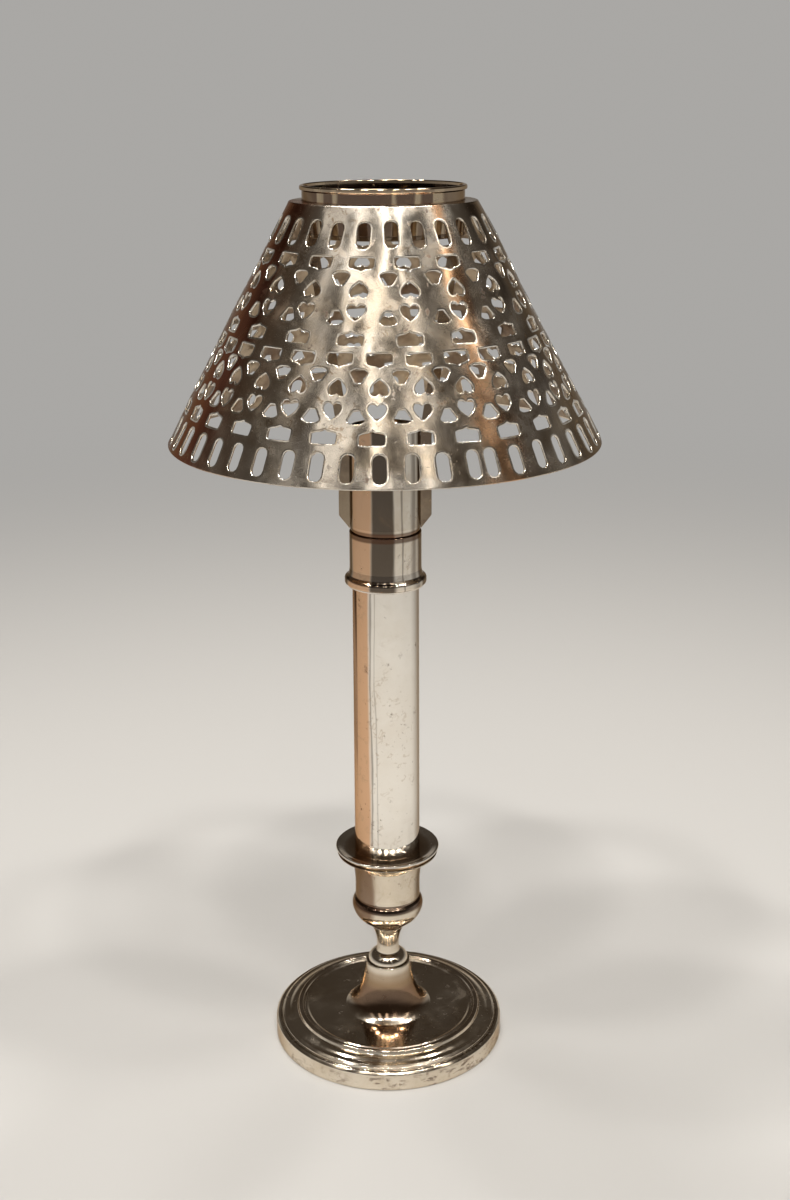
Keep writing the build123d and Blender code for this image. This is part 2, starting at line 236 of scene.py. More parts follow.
def levels(tree, value, low, high, to_low=0.0, to_high=1.0):
    """Maps a value's range low..high smoothly to to_low..to_high."""
    limits = {"From Min": low, "From Max": high, "To Min": to_low, "To Max": to_high}
    made = add_node(
        tree, "ShaderNodeMapRange", {"interpolation_type": "SMOOTHSTEP"}, Value=value, **limits
    )
    return made.outputs["Result"]


def blend(tree, amount, first, second):
    """Mixes two colours, each a socket or three numbers."""
    first, second = ((*each, 1) if isinstance(each, tuple) else each for each in (first, second))
    made = add_node(tree, "ShaderNodeMix", {"data_type": "RGBA"}, i0=amount, i6=first, i7=second)
    return made.outputs[2]


def maths(tree, operation, first, second):
    """One arithmetic step."""
    made = add_node(tree, "ShaderNodeMath", {"operation": operation}, i0=first, i1=second)
    return made.outputs[0]


def times(tree, first, second):
    """The product of two values."""
    return maths(tree, "MULTIPLY", first, second)


def round_angle(tree, stray):
    """Degrees round the axis from the front towards the right, strayed by upright noise."""
    parts = add_node(tree, "ShaderNodeSeparateXYZ", Vector=place(tree)).outputs
    angle = maths(tree, "ARCTAN2", parts["X"], times(tree, parts["Y"], -1.0))
    sway = noise(tree, place(tree, (1, 1, 0.12)), 110, 4, 0.6)
    sway = times(tree, maths(tree, "SUBTRACT", sway, 0.5), stray)
    return maths(tree, "ADD", times(tree, angle, 180 / math.pi), sway)


def between(tree, value, low, high, soft):
    """1 where a value lies between two limits, falling off softly outside them."""
    above = levels(tree, value, low - soft, low + soft)
    return times(tree, above, levels(tree, value, high - soft, high + soft, 1.0, 0.0))


def tinted(tree, colour, value, bands):
    """Lays soft bands over a colour, each (low, high, softness, amount, tint) along a value."""
    for low, high, soft, amount, tint in bands:
        share = times(tree, between(tree, value, low, high, soft), amount)
        colour = blend(tree, share, colour, tint)
    return colour


# The first three colours paint reflections and shade in upright streaks on the shade, the tube and
# the cap.
reflected_red, tan, umber = (0.22, 0.055, 0.03), (0.72, 0.42, 0.23), (0.10, 0.07, 0.05)
# On the next line, the first colour paints shade in a gap and in a cove, the second paints
# highlight lines on rims, also rubbed there, and the film's tan is the tarnish's own.
painted_shade_brown, rubbed_highlight, film_tan = (0.12, 0.06, 0.035), (0.95, 0.91, 0.84), (0.62, 0.50, 0.35)
tide_brown, blotch_brown = (0.44, 0.32, 0.20), (0.30, 0.20, 0.12)
fleck_brown, scuff_brown = (0.16, 0.10, 0.07), (0.20, 0.14, 0.11)


def silver_plate(
    name, tarnish, spots, waviness, gloss, base_tone, streaks=(), scuff=0.0, rings=(), scratches=0.05
):
    """Worn silver plate: a base tone, tan film, brown blotches, flecks and tide marks, fine
    scratches; painted reflections and shade in upright streaks as (from degrees, to degrees,
    softness, amount, colour), and painted shade, highlights and reflections in rings as
    (lowest, highest, softness, amount, colour) in metres. A dark base tone is painted shade."""
    material, tree, shader = new_material(name)
    where = place(tree)
    height = add_node(tree, "ShaderNodeSeparateXYZ", Vector=where).outputs["Z"]
    film = levels(tree, noise(tree, where, 28, 6, 0.6, 0.6), 0.42, 0.66)
    blotch = levels(tree, noise(tree, where, 62, 7, 0.62, 1.2), 0.62 - 0.12 * tarnish, 0.80)
    fleck = levels(tree, noise(tree, where, 240, 4, 0.65), 0.665 - 0.07 * spots, 0.71)
    speck = levels(tree, noise(tree, where, 700, 3, 0.6), 0.66, 0.71)
    speck = times(tree, speck, levels(tree, noise(tree, where, 38, 3, 0.5), 0.46, 0.62))
    fleck = maths(tree, "MAXIMUM", fleck, speck)
    tide = maths(tree, "SUBTRACT", noise(tree, where, 300, 3, 0.5, 0.8), 0.62)
    tide = levels(tree, maths(tree, "ABSOLUTE", tide, 0.0), 0.01, 0.04, 1.0, 0.0)
    tide = times(tree, tide, levels(tree, noise(tree, where, 45, 2, 0.5), 0.45, 0.6))

    colour = blend(tree, times(tree, film, 0.75 * tarnish), base_tone, film_tan)
    # painted reflections and shade, in upright streaks round the axis
    if streaks:
        colour = tinted(tree, colour, round_angle(tree, 20.0), streaks)
    colour = blend(tree, times(tree, tide, 0.7 * spots), colour, tide_brown)
    # painted shade, highlights and reflections, in bands by height
    colour = tinted(tree, colour, height, rings)
    colour = blend(tree, times(tree, blotch, 0.8 * tarnish), colour, blotch_brown)
    colour = blend(tree, times(tree, fleck, 0.85 * spots), colour, fleck_brown)
    if scuff:
        low = levels(tree, height, 0.004, 0.0075, 1, 0)
        worn = levels(tree, noise(tree, place(tree, (1, 1, 2.2)), 260, 6, 0.7, 0.5), 0.50, 0.60)
        worn = times(tree, worn, levels(tree, noise(tree, where, 75, 2, 0.5), 0.42, 0.60))
        colour = blend(tree, times(tree, worn, times(tree, low, scuff)), colour, scuff_brown)
    tree.links.new(colour, shader.inputs["Base Color"])
    shader.inputs["Metallic"].default_value = 1.0
    shader.inputs["Specular Tint"].default_value = (0.62, 0.52, 0.42, 1)

    haze = levels(tree, noise(tree, where, 90, 5, 0.6), 0.35, 0.75, gloss, gloss + 0.14)
    dull = times(tree, maths(tree, "MAXIMUM", blotch, fleck), 0.22)
    tree.links.new(maths(tree, "ADD", haze, dull), shader.inputs["Roughness"])
    wave = noise(tree, place(tree, (1, 1, 0.4)), 75, 2, 0.4)
    scratch = noise(tree, place(tree, (1, 1, 0.07)), 900, 2, 0.5)
    wavy = add_node(tree, "ShaderNodeBump", Height=wave, Strength=waviness, Distance=1.2 * MM)
    fine = add_node(tree, "ShaderNodeBump", Height=scratch, Strength=scratches, Distance=0.2 * MM)
    tree.links.new(wavy.outputs["Normal"], fine.inputs["Normal"])
    tree.links.new(fine.outputs["Normal"], shader.inputs["Normal"])
    return material


def simple_surface(name, base, dark, scale, rough, metallic=0.0, bump=0.2, sheen=0.0):
    """A mottled surface of two colours with fine relief."""
    material, tree, shader = new_material(name)
    where = place(tree)
    grain = noise(tree, where, scale, 6, 0.6)
    colour = blend(tree, levels(tree, grain, 0.35, 0.7), base, dark)
    tree.links.new(colour, shader.inputs["Base Color"])
    shader.inputs["Metallic"].default_value = metallic
    tree.links.new(levels(tree, grain, 0.3, 0.7, rough, rough + 0.15), shader.inputs["Roughness"])
    shader.inputs["Sheen Weight"].default_value = sheen
    relief = add_node(tree, "ShaderNodeBump", Height=grain, Strength=bump, Distance=0.4 * MM)
    tree.links.new(relief.outputs["Normal"], shader.inputs["Normal"])
    return material


shade_silver = silver_plate(
    "shade_silver", tarnish=0.85, spots=1.0, waviness=0.35, gloss=0.16, base_tone=(0.84, 0.78, 0.69),
    # These streaks are painted reflections and shade: red-brown and dark brown down the sides and
    # back, tan where warm light is reflected.
    streaks=[
        (-100, -50, 8, 0.92, reflected_red), (-150, -96, 14, 0.7, umber), (27, 36, 4, 0.9, tan),
        (54, 110, 10, 0.8, umber), (-54, -40, 6, 0.35, tan), (15, 26, 5, 0.3, umber),
        (150, 175, 8, 0.5, tan),
    ],
)
# The lining is darkened: smoke, and painted shade inside the cone.
smoked_and_shaded_lining = simple_surface(
    "smoked_and_shaded_lining", (0.42, 0.33, 0.23), (0.18, 0.12, 0.08), 70, 0.28, metallic=1.0, bump=0.3
)
# The rims' bright tone is a painted highlight on edges that are also rubbed clean.
rim_silver = simple_surface(
    "rubbed_rim_highlight", (0.93, 0.89, 0.82), (0.74, 0.64, 0.50), 240, 0.12, metallic=1.0, bump=0.05
)
# The collar is painted as reflections: a dark base tone with tan streaks, and a tan band round its
# rolled top.
collar_silver = silver_plate(
    "collar_silver", tarnish=0.5, spots=0.3, waviness=0.06, gloss=0.06, base_tone=(0.22, 0.15, 0.11),
    streaks=[
        (start, start + wide, 1.5, 0.85, (0.72, 0.58, 0.40))
        for start, wide in (
            (-130, 9), (-51, 4), (-37, 4), (4, 4), (20, 4), (38, 9), (95, 12), (160, 8),
        )
    ],
    rings=[(0.3164, 0.3185, 0.0003, 0.6, (0.62, 0.50, 0.36))],
)
column_silver = silver_plate(
    "column_silver", tarnish=0.25, spots=0.5, waviness=0.04, gloss=0.05, base_tone=(0.95, 0.91, 0.84),
    # These streaks are painted reflections: a tan band down the left, thin dark lines beside it, a
    # dark grey right side and tan at the back.
    streaks=[
        (-110, -30, 4, 0.92, tan), (-28, -25, 1.5, 0.6, umber), (-19, -17, 1, 0.35, umber),
        (60, 112, 16, 0.75, (0.30, 0.26, 0.22)), (150, 190, 14, 0.6, tan),
    ],
)
cap_silver = silver_plate(
    "cap_silver", tarnish=0.5, spots=0.4, waviness=0.05, gloss=0.06, base_tone=(0.92, 0.85, 0.74),
    # These streaks are painted reflections: tan at the left, dark down the middle, and dark lines
    # and sides.
    streaks=[
        (-64, -24, 4, 0.85, tan), (-24, 13, 3, 0.94, (0.10, 0.075, 0.055)),
        (-125, -64, 4, 0.92, umber), (26, 29, 1.5, 0.6, umber), (46, 56, 4, 0.6, umber),
        (60, 120, 5, 0.85, umber), (150, 170, 8, 0.6, umber),
    ],
    # Painted shadow in the gap under the carrier's sleeve, and a painted highlight line on the
    # bead's lower edge, also rubbed there.
    rings=[(0.1936, 0.1970, 0.0004, 0.8, painted_shade_brown), (0.1752, 0.1763, 0.0003, 0.8, rubbed_highlight)],
)
foot_silver = silver_plate(
    "foot_silver", tarnish=0.7, spots=0.6, waviness=0.008, gloss=0.09, base_tone=(0.84, 0.76, 0.64),
    scuff=0.85, scratches=0.012,
    # These rings are painted reflections: the trumpet browner, with a paler brown band over its
    # upper part.
    rings=[
        (0.0104, 0.0222, 0.0016, 0.85, (0.20, 0.095, 0.04)),
        (0.0195, 0.0250, 0.0012, 0.75, (0.40, 0.28, 0.17)),
    ],
)
cup_silver = silver_plate(
    "cup_silver", tarnish=0.9, spots=0.8, waviness=0.05, gloss=0.07, base_tone=(0.84, 0.75, 0.62),
    # The streaks are painted reflections, dark brown at the left and right; the ring is painted
    # shade in the cove under the vase.
    streaks=[(-80, -24, 6, 0.85, (0.20, 0.11, 0.06)), (58, 130, 8, 0.75, umber)],
    rings=[(0.0515, 0.0545, 0.0004, 0.8, painted_shade_brown)],
)
# The arms and the carrier's ring get a dark base tone: painted shade under the cone.
arm_silver = silver_plate(
    "arm_silver", tarnish=0.7, spots=0.4, waviness=0.05, gloss=0.10, base_tone=(0.24, 0.18, 0.13)
)
# The pan's dark base tone is a painted reflection of the dark room in its dish; its ring is a
# painted highlight line along the rim, also rubbed there.
pan_silver = silver_plate(
    "pan_silver", tarnish=0.9, spots=0.4, waviness=0.03, gloss=0.06, base_tone=(0.38, 0.26, 0.16),
    rings=[(0.0733, 0.0745, 0.0002, 0.9, rubbed_highlight)],
)
steel = simple_surface(
    "drawn_steel", (0.52, 0.51, 0.49), (0.36, 0.35, 0.33), 400, 0.3, metallic=1.0
)
cast = simple_surface("cast_filling", (0.09, 0.09, 0.09), (0.04, 0.035, 0.03), 300, 0.7, bump=0.6)
baize = simple_surface(
    "green_baize", (0.03, 0.13, 0.07), (0.02, 0.08, 0.04), 2200, 0.9, bump=0.8, sheen=0.6
)
wax = simple_surface("candle_wax", (0.86, 0.80, 0.66), (0.78, 0.71, 0.56), 60, 0.42, bump=0.1)
wick_cotton = simple_surface(
    "charred_wick", (0.10, 0.09, 0.08), (0.02, 0.02, 0.02), 1800, 0.9, bump=0.8
)


def dress(piece, material, slot, body, *nodes, more=()):
    """Gives a piece its materials, rides it on its body and hides the nodes it stands for.
    Its slot, the record's finish, is not used."""
    for each in (material, *more):
        piece.data.materials.append(each)
    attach(piece, body)
    if nodes:
        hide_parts(*nodes)
    return piece


def finish_node(node, material):
    """Gives a CAD node that stays a better material."""
    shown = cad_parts[node]
    for slot in shown.material_slots:
        slot.material = material
    if not shown.material_slots:
        shown.data.materials.append(material)


# --- candlestick ------------------------------------------------------------------
def make_foot():
    """The foot: scuffed band, two reeds, ogee, two finer reeds, flat dish and a trumpet."""
    edge, top = foot_high.x / MM, foot_high.z / MM
    corners = [
        (edge - 1.0, 0, 0.2), (edge, 0, 0.35), (edge, 5.9, 0.7), (edge - 0.9, 6.7, 0.6),
        (edge - 1.8, 6.5, 0.3), (edge - 2.0, 6.0, 0.2), (edge - 2.3, 7.3, 0.35),
        (edge - 3.3, 7.9, 0.6), (edge - 4.6, 7.8, FULL), (edge - 6.4, 8.7, FULL),
        (34.5, 8.8, 0.35), (34.0, 10.1, 0.6), (32.5, 10.1, 0.5), (32.0, 9.4, 0.3),
        (31.2, 9.9, 0.5), (30.2, 9.4, 0.5), (16.2, 9.2, 1.2), (14.4, 10.2, FULL),
        (12.8, 11.8, FULL), (11.5, 14.0, FULL), (10.2, 17.0, FULL), (9.2, 20.3, FULL),
        (8.5, 24.0, FULL), (8.2, top - 0.6, 0.3), (8.2, top, 0.15), (7.9, top, 0.15),
        (7.5, top - 1.0, 0.1), (3.0, top - 1.0, 0.1), (3.0, 8.2, 0.1), (edge - 2.0, 5.0, 0.2),
    ]
    return turned("foot_turning", corners, steps=10)


def make_stem():
    """The domed knop in the trumpet's mouth, a slim neck and a flare up to the socket."""
    low, high = stem_low.z / MM, stem_high.z / MM
    corners = [
        (2.0, low - 0.8, 0.1), (7.2, low - 0.8, 0.1), (7.5, low + 0.7, FULL),
        (7.0, low + 2.1, FULL), (5.9, low + 3.2, FULL), (4.3, low + 3.8, 0.3),
        (4.05, low + 5.0, FULL), (4.05, low + 7.2, FULL), (4.4, low + 9.8, FULL),
        (5.1, low + 12.2, FULL), (6.5, high, 0.1), (2.0, high, 0.1),
    ]
    return turned("stem_turning", corners, steps=10)


def make_cup():
    """The socket: bulb, bead, dark cove, vase and a lip flared out under the pan."""
    low, high = cup_low.z / MM, cup_high.z / MM
    corners = [
        (3.0, low, 0.1), (6.5, low, 0.15), (7.5, low + 1.0, FULL), (9.2, low + 2.2, FULL),
        (11.0, low + 3.7, FULL), (12.5, low + 5.9, FULL), (13.2, low + 8.3, FULL),
        (13.15, low + 9.8, FULL), (12.5, low + 11.1, 0.5), (11.7, low + 11.7, 0.3),
        (11.7, low + 12.3, 0.15), (12.1, low + 12.6, 0.25), (11.9, low + 16.5, FULL),
        (12.1, low + 20.5, FULL), (12.7, high - 5.2, FULL), (13.8, high - 2.8, FULL),
        (15.6, high - 1.1, FULL), (18.4, high - 0.7, 0.2), (18.6, high - 0.35, 0.2),
        (18.4, high, 0.2), (10.4, high, 0.2), (10.4, low + 7.4, 0.3), (3.0, low + 7.4, 0.1),
    ]
    return turned("cup_turning", corners, steps=10)


def make_pan():
    """The loose pan: a thin rim turned up round a shallow dish, on its sleeve."""
    low, high = pan_low.z / MM, pan_high.z / MM
    edge = pan_high.x / MM
    corners = [
        (9.6, low, 0.2), (10.3, low, 0.2), (10.3, high - 2.1, 0.2), (18.2, high - 2.1, 0.6),
        (edge, high - 0.5, 0.4), (edge - 0.2, high, 0.25), (edge - 0.9, high - 0.15, 0.5),
        (16.0, high - 1.0, 6.0), (12.6, high - 1.1, 0.2), (9.6, high - 1.1, 0.2),
    ]
    return turned("pan_turning", corners, steps=8)


# --- tube, cap and carrier --------------------------------------------------------
def make_cap():
    """The cap: rolled bead, cove, skirt, shoulder and the neck that stops the candle."""
    low, high = cap_low.z / MM, cap_high.z / MM
    seat = sleeve_low.z / MM
    bead = cap_high.x / MM
    corners = [
        (12.1, low, 0.1), (13.6, low, 0.3), (14.0, low + 0.7, 0.25), (bead, low + 1.1, 0.7),
        (bead, low + 3.1, 0.9), (13.8, low + 3.8, 0.3), (13.3, low + 4.4, 0.5),
        (12.95, low + 6.4, 2.0), (12.95, seat - 0.15, 0.25), (12.6, seat, 0.15),
        (12.0, seat, 0.1), (12.0, high, 0.35), (8.6, high, 0.3), (8.6, high - 0.9, 0.3),
        (11.3, high - 0.9, 0.3), (11.3, low + 19.4, 0.2), (12.1, low + 19.4, 0.2),
    ]
    return turned("cap_turning", corners, steps=8)


def make_sleeve():
    """The carrier's plain sleeve, its lower edge eased where it meets the cap's shoulder."""
    low, high = sleeve_low.z / MM, sleeve_high.z / MM
    outer = sleeve_high.x / MM
    inner = outer - 0.55
    corners = [
        (inner, low, 0.05), (inner + 0.2, low, 0.1), (outer - 0.05, low + 1.1, 1.2),
        (outer, low + 2.5, 1.0), (outer, high, 0.2), (inner, high, 0.1),
    ]
    return turned("sleeve_turning", corners)


def make_tube():
    """The polished tube; its two bayonet slots are cut out of the grid before it gets its wall."""
    low, high, radius = tube_low.z, tube_high.z, tube_high.x
    wall = 0.6 * MM
    pin, drop, turn = 1.0 * MM, 8.6 * MM, math.radians(25)
    reach = pin / radius
    level = high - drop
    marks = [-reach, turn - reach, turn + reach]
    marks += [mark + math.pi for mark in marks]
    even = np.linspace(0, 2 * math.pi, around, endpoint=False)
    angles = np.unique(np.concatenate([even, np.mod(marks, 2 * math.pi)]))
    heights = np.unique([low, low + 0.3 * MM, level - pin, level + pin, high - 0.3 * MM, high])
    middle_angle = angles + np.diff(np.append(angles, angles[0] + 2 * math.pi)) / 2
    middle_height = (heights[1:] + heights[:-1]) / 2
    local = np.mod(middle_angle + math.pi / 2, math.pi) - math.pi / 2
    run = (local > -reach) & (local < turn + reach)
    entry = (local > turn - reach) & (local < turn + reach)
    at_level = np.abs(middle_height - level) < pin
    above = middle_height > level
    cut = (at_level[:, None] & run[None]) | (above[:, None] & entry[None])
    points = carried(radius + 0 * heights, heights, angles)
    index = np.arange(len(heights) * len(angles)).reshape(len(heights), -1)
    quads = grid_faces(index, False).reshape(*cut.shape, 4)[~cut]
    used, compact = np.unique(quads, return_inverse=True)
    tube = make_object("tube_polished", points.reshape(-1, 3)[used], compact.reshape(-1, 4))
    solid = tube.modifiers.new("wall", "SOLIDIFY")
    solid.thickness = wall
    solid.offset = -1
    return tube


def make_arms():
    """The two flat arms: an outline in the lamp's plane with eased edges, and its half turn."""
    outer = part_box("carrier_arm_right")[1].x / MM
    near, far = sleeve_high.x / MM, 16.55
    foot, top = sleeve_low.z / MM + 0.5, ledge_low.z / MM
    corners = [
        (near, foot, 0.1), (far, foot + 4.9, 1.2), (far, foot + 33.9, 10.0), (outer, top, 0.1),
        (outer - 3.9, top, 0.1), (near + 0.1, sleeve_high.z / MM, 2.0),
        (near, sleeve_high.z / MM - 4.0, 0.1),
    ]
    flat, _ = softened(np.array(corners) * MM, steps=8)
    half, ease = 0.5 * MM, 0.12 * MM
    inward = flat.mean(0) - flat
    inset = flat + ease * inward / np.linalg.norm(inward, axis=1, keepdims=True)
    layers = ((inset, half), (flat, half - ease), (flat, ease - half), (inset, -half))
    index = np.arange(4 * len(flat)).reshape(4, -1)
    band = grid_faces(index, False)[:, ::-1].tolist()
    faces = [*band, index[0].tolist(), index[3][::-1].tolist()]
    pieces = []
    for name, side in (("right", 1), ("left", -1)):
        rows = [np.insert(row * (side, 1), 1, side * depth, axis=1) for row, depth in layers]
        mesh = bpy.data.meshes.new("arm_" + name)
        mesh.from_pydata(np.concatenate(rows).tolist(), [], faces)
        # The eased sides take the second material: a painted highlight along the arms' edges.
        mesh.polygons.foreach_set("material_index", [1] * len(band) + [0, 0])
        made = bpy.data.objects.new("arm_" + name, mesh)
        bpy.context.scene.collection.objects.link(made)
        pieces.append(made)
    return pieces


def make_ledge():
    """The carrier's ring: a ledge under the collar and a step up inside it."""
    low, high = ledge_low.z / MM, ledge_high.z / MM
    outer = ledge_high.x / MM
    corners = [
        (24.7, low, 0.2), (outer, low, 0.3), (outer, low + 1.6, 0.2), (27.1, low + 1.6, 0.15),
        (27.1, high, 0.25), (24.7, high, 0.25),
    ]
    return turned("ledge_turning", corners)


def make_collar():
    """The drum on the shade's top, its upper edge rolled out over a groove."""
    low, high = collar_low.z / MM, collar_high.z / MM
    outer = collar_high.x / MM
    corners = [
        (27.4, low, 0.15), (28.1, low, 0.15), (28.1, high - 1.9, 0.35),
        (outer, high - 1.6, 0.5), (outer, high - 0.1, 0.7), (27.6, high, 0.5),
        (27.4, high - 1.2, 0.4),
    ]
    return turned("collar_turning", corners)


# --- candle -----------------------------------------------------------------------
def make_candle():
    """The candle: shoulder softened by the flame and a shallow melted cup round the wick."""
    low, high = candle_low.z / MM, candle_high.z / MM
    corners = [
        (0.0, low, 0.0), (11.0, low, 0.6), (11.0, high - 3.4, 0.25), (7.6, high - 3.4, 0.5),
        (7.6, high, 1.4), (4.6, high - 0.7, 4.0), (0.9, high - 1.4, 0.3),
        (0.8, high - 3.9, 0.1), (0.0, high - 3.9, 0.0),
    ]
    return turned("candle_body", corners, closed=False)


def wire(centre, radius, sides=10):
    """A round wire wound about the axis: at each centre a circle square to the line, spread by
    the direction away from the axis, and both ends drawn in to a point. Returns points, quads."""
    centre = np.concatenate([centre[:1], centre, centre[-1:]])
    along = np.gradient(centre, axis=0)
    along[0], along[-1] = along[1], along[-2]
    along /= np.linalg.norm(along, axis=1, keepdims=True)
    away = centre * (1, 1, 0)
    away /= np.linalg.norm(away, axis=1, keepdims=True)
    beside = np.cross(along, away)
    ring = np.linspace(0, 2 * math.pi, sides, endpoint=False)[:, None]
    circle = radius * (np.cos(ring) * away[:, None] + np.sin(ring) * beside[:, None])
    circle[0] = circle[-1] = 0
    index = np.arange(len(centre) * sides).reshape(-1, sides)
    index[0], index[-1] = index[0, 0], index[-1, 0]
    return (centre[:, None] + circle).reshape(-1, 3), grid_faces(index, False)


def make_wick():
    """The wick: three cotton strands twisted round each other."""
    strand, rows = 0.36 * MM, 40
    along = np.linspace(0, 1, rows)
    height = wick_low.z + along * (wick_high.z - wick_low.z - 0.4 * MM)
    points, faces = [], []
    for n in range(3):
        twist = 2 * math.pi * (n / 3 + 2.5 * along)
        centre = np.stack([strand * np.cos(twist), strand * np.sin(twist), height], axis=1)
        places, quads = wire(centre, strand)
        faces.append(quads + sum(len(each) for each in points))
        points.append(places)
    return make_object("wick_twist", np.concatenate(points), np.concatenate(faces))


def make_spring():
    """The long coil under the follower."""
    gauge, turns, steps = 0.9 * MM, 11, 36
    along = np.linspace(0, 1, turns * steps + 1)
    turn = 2 * math.pi * turns * along
    radius = spring_high.x - gauge / 2
    low, high = spring_low.z + gauge / 2, spring_high.z - gauge / 2
    height = low + along * (high - low)
    centre = np.stack([radius * np.cos(turn), radius * np.sin(turn), height], axis=1)
    return make_object("spring_coil", *wire(centre, gauge / 2))


# --- pierced shade ----------------------------------------------------------------
def hole_outline(kind):
    """One hole's outline (x, y up the slant), its outward normals, and how much of the rim's
    width there is room for; points lie closer together at its corners."""
    shapes = {
        "slot": [(-2.15, -4.7, 1.95), (2.15, -4.7, 1.95), (2.15, 4.7, 1.95), (-2.15, 4.7, 1.95)],
        "house": [
            (-4.05, -2.2, 0.5), (4.05, -2.2, 0.5), (4.1, 1.3, 0.5), (2.2, 1.75, 1.5),
            (0.75, 1.95, 0.9), (0.0, 2.55, 0.18), (-0.75, 1.95, 0.9), (-2.2, 1.75, 1.5),
            (-4.1, 1.3, 0.5),
        ],
        "fan": [
            (-1.0, -2.25, 0.35), (1.0, -2.25, 0.35), (2.95, 1.2, 0.55), (1.6, 2.15, 1.6),
            (-1.6, 2.15, 1.6), (-2.95, 1.2, 0.55),
        ],
        "heart": [
            (0.0, -2.85, 0.45), (2.3, -0.95, 3.6), (3.15, 0.9, 1.7), (2.45, 2.75, 1.05),
            (0.9, 2.6, 1.0), (0.0, 1.85, 0.25), (-0.9, 2.6, 1.0), (-2.45, 2.75, 1.05),
            (-3.15, 0.9, 1.7), (-2.3, -0.95, 3.6),
        ],
    }
    points, normals = softened(np.array(shapes[kind]) * MM, steps=8)
    ring, facing = np.vstack([points, points[:1]]), np.vstack([normals, normals[:1]])
    length = np.linalg.norm(np.diff(ring, axis=0), axis=1)
    bend = np.arccos(np.clip((facing[1:] * facing[:-1]).sum(1), -1, 1))
    walk = np.concatenate([[0], np.cumsum(length + corner_share * bend)])
    even = np.linspace(0, walk[-1], hole_points, endpoint=False)
    outline = np.stack([np.interp(even, walk, axis) for axis in ring.T], axis=1)
    tangent = np.roll(outline, -1, 0) - np.roll(outline, 1, 0)
    normal = np.stack([tangent[:, 1], -tangent[:, 0]], axis=1)
    normal /= np.linalg.norm(normal, axis=1, keepdims=True)
    side = np.roll(outline, -1, 0) - outline
    room = np.ones((hole_points, 1))
    for _ in range(16):  # narrows the rim step by step where its points crowd together
        rim = outline + rim_offsets[0] * room * normal
        along = ((np.roll(rim, -1, 0) - rim) * side).sum(1) / (side * side).sum(1)
        tight = (along < rim_spacing) | (np.roll(along, 1) < rim_spacing)
        room[tight] *= 0.85
    return outline, normal, room


def pierced_rows():
    """Every hole as (kind, azimuth in degrees, distance down the slant, upside down)."""
    rows = [
        ("slot", 26, 3.6, 360 / 26, 11.35, False),
        ("slot", 46, 27.1, 7.896, 89.0, False),
    ]
    lace = ((18, 33.9, 9.9, 1.8, 9.9), (28, 66.5, 10.7, 5.1, 11.2))
    for count, middle, panels, fans, hearts in lace:
        pitch = 360 / count
        rows += [
            ("house", count, panels + 0.5, pitch, middle - 12.75, True),
            ("fan", count, fans, pitch, middle - 7.6, False),
            ("heart", count, hearts + 0.4, pitch, middle - 3.85, True),
            ("heart", count, hearts - 0.4, pitch, middle + 4.0, False),
            ("fan", count, fans, pitch, middle + 5.8, True),
            ("house", count, panels - 1.2, pitch, middle + 12.75, False),
        ]
    return [
        (kind, start + pitch * n, distance, over)
        for kind, count, start, pitch, distance, over in rows
        for n in range(count)
    ]


def radius_at(slant):
    """The outer face's radius at a distance down the slant."""
    return shade_top_radius + slant * math.sin(slope)


def on_slope(slant, lift):
    """Radius and height at a distance down the slant, lifted off the sheet's outer face."""
    radius = radius_at(slant) + lift * math.cos(slope)
    return radius, shade_top - slant * math.cos(slope) + lift * math.sin(slope)


def on_cone(azimuth, slant, lift):
    """Points at an azimuth and a distance down the slant, lifted off the sheet's outer face."""
    radius, height = on_slope(slant, lift)
    return np.stack([radius * np.sin(azimuth), -radius * np.cos(azimuth), height], axis=-1)


def wrapped(azimuth):
    """The same azimuth from half a turn back to half a turn on."""
    return np.mod(azimuth + math.pi, 2 * math.pi) - math.pi


def cone_axes(azimuth):
    """Unit vectors to the right, up the slant and outward at an azimuth."""
    sine, cosine, none = np.sin(azimuth), np.cos(azimuth), 0 * azimuth
    lean, rise = math.sin(slope), math.cos(slope)
    right = np.stack([cosine, sine, none], axis=-1)
    up = np.stack([-sine * lean, cosine * lean, none + rise], axis=-1)
    out = np.stack([sine * rise, -cosine * rise, none + lean], axis=-1)
    return right, up, out


def rippled(azimuth, slant):
    """The sheet's hand-made unevenness: a sum of slow sines, and its slopes sideways and up."""
    rounds = np.array([5, 9, 13, 8, 17])
    along = np.array([60.0, -95.0, 140.0, 190.0, -70.0])
    start = np.array([0.3, 2.1, 4.0, 5.2, 1.1])
    size = ripple * np.array([1.0, 0.8, 0.6, 0.5, 0.35])
    phase = azimuth[..., None] * rounds + slant[..., None] * along + start
    lift = (size * np.sin(phase)).sum(-1)
    sideways = (size * rounds * np.cos(phase)).sum(-1) / radius_at(slant)
    upward = -(size * along * np.cos(phase)).sum(-1)
    return lift, sideways, upward


def inside(polygon, points):
    """Which points lie inside a polygon, by counting the sides that a ray to the right crosses."""
    x, y = points[:, :1], points[:, 1:]
    ax, ay = polygon[:, 0], polygon[:, 1]
    bx, by = np.roll(ax, -1), np.roll(ay, -1)
    spans = (ay > y) != (by > y)
    with np.errstate(divide="ignore", invalid="ignore"):
        crossing = ax + (y - ay) * (bx - ax) / (by - ay)
    return (spans & (x < crossing)).sum(1) % 2 == 1


def flatten(azimuth, slant):
    """The cone unrolled without change of angle: azimuth across, log of distance from its tip."""
    return np.stack([azimuth * math.sin(slope), -np.log((cone_tip + slant) / cone_tip)], axis=-1)


